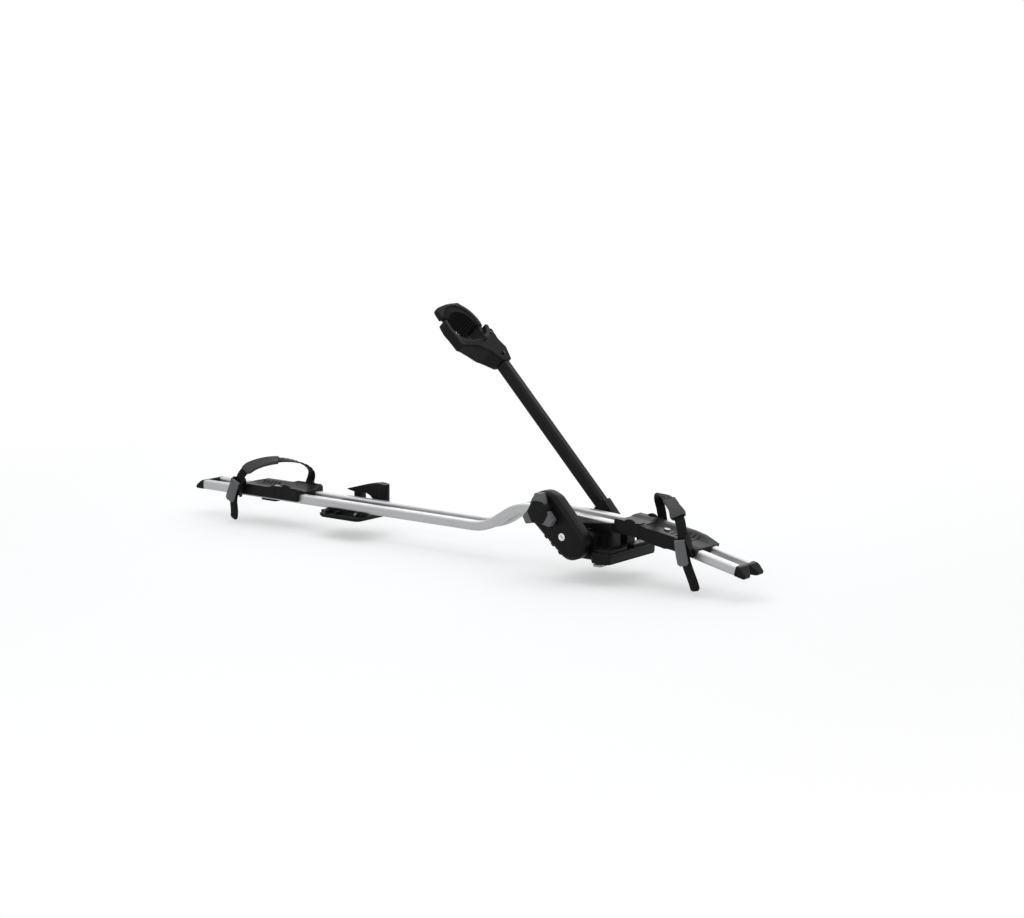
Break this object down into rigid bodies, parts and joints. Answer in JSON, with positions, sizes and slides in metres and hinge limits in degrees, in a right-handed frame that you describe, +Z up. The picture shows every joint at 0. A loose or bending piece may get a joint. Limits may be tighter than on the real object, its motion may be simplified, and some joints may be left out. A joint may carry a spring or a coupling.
{
  "type": "roof mounted bike carrier",
  "caption": "Roof bike carrier: bent twin rails on clamp feet, folding arm with closing frame claw and torque knob, strapped wheel trays and a quick clamp lever.",
  "frame": {"origin": "middle of the underside of the front foot, between the two rails, on the roof bar", "axes": "+X along the rails to the front of the vehicle, +Y across to the arm side, +Z up"},
  "size_m": [1.4383, 0.2134, 0.5164],
  "materials": {
    "anodised_rail": "satin anodised",
    "moulded_black": "fine grained moulding",
    "black_arm": "satin black coat",
    "strap_black": "ribbed strap",
    "soft_grey": "soft rubber",
    "claw_rubber": "ridged rubber",
    "mid_grey": "grained moulding",
    "bearing_plastic": "smooth bearing",
    "zinc_steel": "zinc plated",
    "lock_chrome": "bright plated"
  },
  "bodies": {
    "frame": {"rail_near": "anodised_rail", "rail_far": "anodised_rail", "front_end_cap": "moulded_black", "rear_end_cap": "moulded_black", "base_housing": "moulded_black", "front_foot_pad": "claw_rubber", "roof_bar_bolts": "zinc_steel", "roof_bar_nuts": "zinc_steel", "rail_screws": "zinc_steel", "pivot_bush_near": "bearing_plastic", "pivot_bush_far": "bearing_plastic", "front_tray": "moulded_black", "front_tray_clamp": "moulded_black", "front_tray_bolt": "zinc_steel", "front_buckle": "moulded_black", "front_lever_pin": "zinc_steel", "front_strap": "strap_black", "front_strap_pad": "soft_grey", "front_strap_stud": "moulded_black"},
    "arm": {"pivot_shaft": "zinc_steel", "arm_root": "moulded_black", "arm_tube": "black_arm", "knob_housing": "moulded_black", "knob_cover": "moulded_black", "limiter_spring": "zinc_steel", "claw_palm": "moulded_black", "palm_pad": "claw_rubber", "jaw_pin": "zinc_steel", "arm_rivet": "zinc_steel"},
    "jaw": {"claw_jaw": "moulded_black", "jaw_pad": "claw_rubber"},
    "knob": {"torque_knob": "moulded_black", "knob_grips": "mid_grey", "knob_spindle": "zinc_steel", "limiter_disc": "zinc_steel"},
    "rod": {"pull_rod": "zinc_steel"},
    "lock": {"lock_cylinder": "lock_chrome"},
    "front_ratchet": {"front_lever": "mid_grey"},
    "rear_wheel_unit": {"rear_tray": "moulded_black", "rear_tray_clamp": "moulded_black", "rear_tray_bolt": "zinc_steel", "rear_buckle": "moulded_black", "rear_lever_pin": "zinc_steel", "rear_strap": "strap_black", "rear_strap_pad": "soft_grey", "rear_strap_stud": "moulded_black"},
    "rear_ratchet": {"rear_lever": "mid_grey"},
    "rear_foot": {"rear_foot_plate": "moulded_black", "rear_foot_pad": "claw_rubber", "rear_bar_bolt": "zinc_steel", "rear_bar_nut": "zinc_steel", "clamp_shoe": "moulded_black", "clamp_draw_bolt": "zinc_steel", "clamp_draw_nut": "zinc_steel"},
    "quick_clamp": {"clamp_lever": "moulded_black", "clamp_pin": "zinc_steel"}
  },
  "joints": [
    {"name": "arm_fold", "type": "hinge", "parent": "frame", "child": "arm", "pos_m": [-0.045, 0, 0.037], "axis": [0, 1, 0], "range_deg": [-38, 44]},
    {"name": "jaw_hinge", "type": "hinge", "parent": "arm", "child": "jaw", "pos_m": [-0.37819, 0.047, 0.39642], "axis": [0.7193, 0, 0.6947], "range_deg": [-50, 2]},
    {"name": "knob_turn", "type": "hinge", "parent": "arm", "child": "knob", "pos_m": [-0.10623, -0.1048, 0.09465], "axis": [0, 1, 0], "range_deg": [-364, 18]},
    {"name": "rod_pull", "type": "slide", "parent": "arm", "child": "rod", "axis": [-0.6947, 0, 0.7193], "range_m": [-0.0178, 0.001]},
    {"name": "lock_turn", "type": "hinge", "parent": "arm", "child": "lock", "pos_m": [-0.06285, -0.1048, 0.04757], "axis": [0, 1, 0], "range_deg": [0, 90]},
    {"name": "front_lever_swing", "type": "hinge", "parent": "frame", "child": "front_ratchet", "pos_m": [0.18371, -0.0608, 0.06189], "axis": [0.9799, 0, 0.1994], "range_deg": [-110, 0]},
    {"name": "rear_tray_slide", "type": "slide", "parent": "frame", "child": "rear_wheel_unit", "axis": [1, 0, 0], "range_m": [-0.07, 0.02]},
    {"name": "rear_lever_swing", "type": "hinge", "parent": "rear_wheel_unit", "child": "rear_ratchet", "pos_m": [-0.97771, -0.0608, 0.04738], "axis": [0.9135, 0, -0.4067], "range_deg": [-110, 0]},
    {"name": "rear_foot_slide", "type": "slide", "parent": "frame", "child": "rear_foot", "axis": [1, 0, 0], "range_m": [-0.01, 0.09]},
    {"name": "quick_clamp_swing", "type": "hinge", "parent": "rear_foot", "child": "quick_clamp", "pos_m": [-0.648, 0.0556, 0.012], "axis": [0, 0, 1], "range_deg": [-120, 0]}
  ],
  "couplings": [
    {"joint": "knob_turn", "follows": "jaw_hinge", "ratio": 7.2},
    {"joint": "rod_pull", "follows": "jaw_hinge", "m_per_rad": 0.02}
  ]
}
